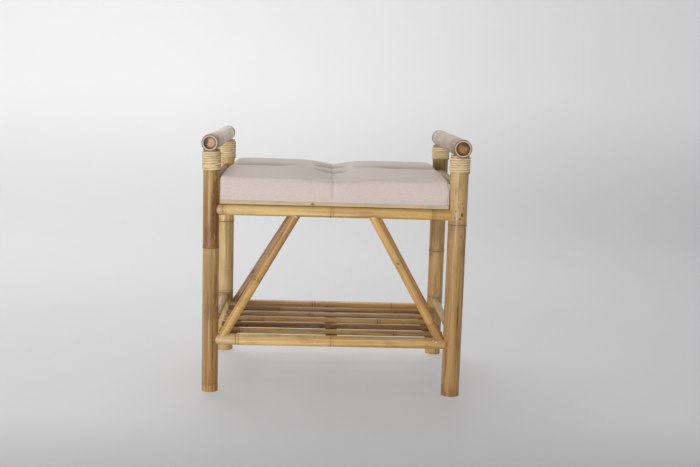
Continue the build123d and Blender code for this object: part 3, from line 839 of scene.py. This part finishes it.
def linenMaterial():
    made, tree, shader = newMaterial("linen")
    coords = addNode(tree, "TexCoord").outputs
    x, y, z = split(tree, coords["Object"])
    face = split(tree, coords["Normal"])
    end = maths(tree, "GREATER_THAN", maths(tree, "ABSOLUTE", face[0]), 0.72)  # the left and right sides
    over = plus(tree, y, z)
    warpAt = addNode(tree, "Mix", {0: end, 2: x, 3: y}).outputs[0]
    weftAt = addNode(tree, "Mix", {0: end, 2: over, 3: z}).outputs[0]
    cloth = addNode(tree, "CombineXYZ", {0: warpAt, 1: weftAt}).outputs[0]
    warp = maths(tree, "SINE", times(tree, warpAt, 2 * math.pi / linen["warp"]))
    weft = maths(tree, "SINE", times(tree, weftAt, 2 * math.pi / linen["weft"]))
    weave = times(tree, warp, weft)
    slubAcross = noise(tree, cloth, (85, 760, 1), 3.0, 0.7)
    slubUp = noise(tree, cloth, (760, 85, 1), 3.0, 0.7, (3.1, 7.7, 0))
    cloud = noise(tree, coords["Object"], (26, 26, 26), 3.0)
    pale, mid, dark = (paint(linen[tone]) for tone in ("pale", "mid", "dark"))
    colour = mixColour(tree, ease(tree, slubAcross, 0.28, 0.77), dark, pale)
    colour = mixColour(tree, 0.45, colour, mid)
    colour = mixColour(tree, ease(tree, slubUp, 0.55, 0.72, 0.0, 0.55), colour, pale)
    colour = mixColour(tree, ease(tree, slubUp, 0.45, 0.3, 0.0, 0.5), colour, dark)
    colour = mixColour(tree, ease(tree, weave, 0.2, 1.0, 0.0, 0.18), colour, dark)
    colour = mixColour(tree, ease(tree, cloud, 0.5, 0.75, 0.0, 0.15), colour, mid)
    paintedShade = addNode(tree, "Attribute", attribute_name="paintedShade").outputs["Fac"]
    # painted shade: faces that look up are greyer and darker
    colour = mixColour(tree, ease(tree, face[2], 0.1, 0.99, 0.0, 0.38), colour, paint(linen["top"]))
    # painted shade in the folds
    colour = mixColour(tree, ease(tree, paintedShade, 0.0, 1.0, 0.0, 0.42), colour, paint(linen["foldShadeColour"]))
    height = plus(tree, times(tree, weave, 0.4), plus(tree, slubAcross, slubUp))
    wire(tree, shader, colour, ease(tree, slubUp, 0.2, 0.8, 0.82, 0.95),
         {"Strength": 0.5, "Distance": 0.0004, "Height": height})
    shader.inputs["Sheen Weight"].default_value = 0.12
    shader.inputs["Specular IOR Level"].default_value = 0.25
    return made


deselect()
cushion = makeCushion()
puffCushion(cushion)
finishCushion(cushion)
dress(cushion, linenMaterial())
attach(cushion, "cushion")
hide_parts("seat_cushion")
print("cushion puffed:", len(cushion.data.polygons), "faces")


# topstitch beside the seam, up the front and over the top
stitching = {"beside": -0.0055, "pitch": 0.0042, "long": 0.003, "thick": 0.0008, "upFront": 10, "frontLow": 0.427,
             "overTop": 78, "topFront": -0.1625, "pale": (196, 180, 166), "dark": (160, 142, 128)}


def makeStitches():
    bpy.ops.mesh.primitive_uv_sphere_add(segments=8, ring_count=6, radius=0.5)
    first = bpy.context.object
    editAll()
    bpy.ops.transform.resize(value=(stitching["thick"], stitching["long"], stitching["thick"]))
    objectMode()
    x = cushionShape["seamX"] + stitching["beside"]
    pitch = stitching["pitch"]
    spots = [((x, -0.3, stitching["frontLow"] + i * pitch), (0, 1, 0)) for i in range(stitching["upFront"])]
    spots += [((x, stitching["topFront"] + i * pitch, 0.6), (0, 0, -1)) for i in range(stitching["overTop"])]
    made = []
    for origin, way in spots:
        hit, place, normal = cushion.ray_cast(Vector(origin), Vector(way))[:3]
        if not hit:
            continue
        along = Vector((1, 0, 0)).cross(normal).normalized()
        turn = Matrix((Vector((1, 0, 0)), along, normal)).transposed().to_4x4()
        copy = first.copy()
        copy.data = first.data.copy()
        copy.data.transform(Matrix.Translation(place + normal * stitching["thick"] * 0.1) @ turn)
        bpy.context.scene.collection.objects.link(copy)
        made.append(copy)
    bpy.data.objects.remove(first)
    whole = joinAll(made)
    bpy.ops.object.shade_smooth()
    return whole


def threadMaterial():
    made, tree, shader = newMaterial("thread")
    coords = addNode(tree, "TexCoord").outputs
    twist = noise(tree, coords["Object"], (3000, 900, 900), 1.0)
    wire(tree, shader, mixColour(tree, twist, paint(stitching["pale"]), paint(stitching["dark"])),
         ease(tree, twist, 0.2, 0.8, 0.7, 0.85))
    return made


deselect()
bpy.context.view_layer.update()
stitches = makeStitches()
stitches.name = "cushion_topstitch"
dress(stitches, threadMaterial())
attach(stitches, "cushion")
print("topstitch sewn:", len(stitches.data.polygons), "faces")


# floor and backdrop in one sweep, as in a studio; the camera sees a share of the floor's light, and less of it
# below the front lamp and near the viewer, plus a painted glow, stronger on the wall and to the left
sweep = {"half": 6.0, "front": -5.0, "back": 3.4, "high": 4.5, "curve": 1.6, "colour": (234, 234, 235),
         "rough": 0.9, "share": 0.42, "underLamp": 0.15, "nearShare": 0.18, "floorGlow": 0.3, "wallGlow": 0.47,
         "leftGlow": 0.09}


def makeSweep():
    bpy.ops.mesh.primitive_plane_add(size=2.0)
    made = bpy.context.object
    made.name = "studio_sweep"
    editAll()
    bpy.ops.transform.resize(value=(sweep["half"], (sweep["back"] - sweep["front"]) / 2, 1))
    bpy.ops.transform.translate(value=(0, (sweep["back"] + sweep["front"]) / 2, 0))
    bpy.ops.mesh.select_all(action="DESELECT")
    bpy.ops.mesh.select_mode(type="EDGE")
    objectMode()
    mesh = made.data
    for edge in mesh.edges:
        edge.select = all(mesh.vertices[v].co.y > sweep["back"] - 0.01 for v in edge.vertices)
    bpy.ops.object.mode_set(mode="EDIT")
    bpy.ops.mesh.extrude_region_move(TRANSFORM_OT_translate={"value": (0, 0, sweep["high"])})
    objectMode()
    for edge in mesh.edges:
        edge.select = all(mesh.vertices[v].co.y > sweep["back"] - 0.01 and mesh.vertices[v].co.z < 0.01
                          for v in edge.vertices)
    bpy.ops.object.mode_set(mode="EDIT")
    bpy.ops.mesh.bevel(offset=sweep["curve"], segments=24)
    objectMode()
    bpy.ops.object.shade_smooth()
    return made


def sweepMaterial():
    made, tree, shader = newMaterial("studio_paint")
    coords = addNode(tree, "TexCoord").outputs
    x, y, z = split(tree, coords["Object"])
    scuff = noise(tree, coords["Object"], (1.4, 1.4, 1.4), 5.0)
    r, g, b = paint(sweep["colour"])[:3]
    colour = mixColour(tree, ease(tree, scuff, 0.4, 0.7), (r, g, b, 1), (r * 0.97, g * 0.97, b * 0.965, 1))
    tree.links.new(colour, shader.inputs["Base Color"])
    shader.inputs["Roughness"].default_value = sweep["rough"]
    # painted glow, stronger on the wall than the floor and to the left
    glow = plus(tree, ease(tree, z, 0.0, 0.7, sweep["floorGlow"], sweep["wallGlow"]),
                ease(tree, x, -2.0, 2.0, sweep["leftGlow"], -sweep["leftGlow"]))
    lampPool = ease(tree, y, -3.6, -1.6, 1 - sweep["underLamp"], 1 - sweep["share"])
    nearView = ease(tree, y, -0.75, -0.3, 1 - sweep["nearShare"], 1 - sweep["share"])
    hidden = maths(tree, "MAXIMUM", lampPool, nearView)
    light = addNode(tree, "CombineColor", {0: glow, 1: glow, 2: glow}).outputs[0]
    shown = addNode(tree, "BsdfPrincipled", {"Roughness": sweep["rough"], "Emission Strength": 1.0,
                                             "Emission Color": light,
                                             "Base Color": mixColour(tree, hidden, colour, (0, 0, 0, 1))})
    path = addNode(tree, "LightPath").outputs
    bounced = plus(tree, path["Is Glossy Ray"], path["Is Transmission Ray"])
    seen = maths(tree, "ADD", path["Is Camera Ray"], bounced, True)
    both = addNode(tree, "MixShader", {0: seen, 1: shader.outputs[0], 2: shown.outputs[0]})
    tree.links.new(both.outputs[0], tree.nodes["Material Output"].inputs[0])
    return made


deselect()
backdrop = makeSweep()
dress(backdrop, sweepMaterial())

# soft light: a low wide lamp in front, a soft box overhead and behind, one on the wall and an even surround
lamps = {"front_lamp": {"place": (-1.7, -3.5, 0.5), "aim": (0, 0, 0.38), "size": (3.0, 0.9), "power": 88},
         "top_lamp": {"place": (-0.5, 1.9, 2.9), "aim": (0, 0, 0.4), "size": (2.6, 2.0), "power": 62},
         "wall_lamp": {"place": (-2.2, 0.9, 2.6), "aim": (-1.7, 3.4, 1.9), "size": (2.2, 2.2), "power": 21}}
even = {"colour": (0.97, 0.98, 1.0, 1), "light": 0.34, "seen": 0.72}
for name, lamp in lamps.items():
    bpy.ops.object.light_add(type="AREA", location=lamp["place"])
    made = bpy.context.object
    made.name = name
    made.data.shape = "RECTANGLE"
    made.data.size, made.data.size_y = lamp["size"]
    made.data.energy = lamp["power"]
    made.rotation_euler = (Vector(lamp["aim"]) - Vector(lamp["place"])).to_track_quat("-Z", "Y").to_euler()
surround = bpy.data.worlds.new("surround")
surround.use_nodes = True
tree = surround.node_tree
tree.nodes["Background"].inputs[0].default_value = even["colour"]
seen = addNode(tree, "LightPath").outputs["Is Camera Ray"]
tree.links.new(ease(tree, seen, 0.0, 1.0, even["light"], even["seen"]), tree.nodes["Background"].inputs[1])
bpy.context.scene.world = surround
print("stage lit")
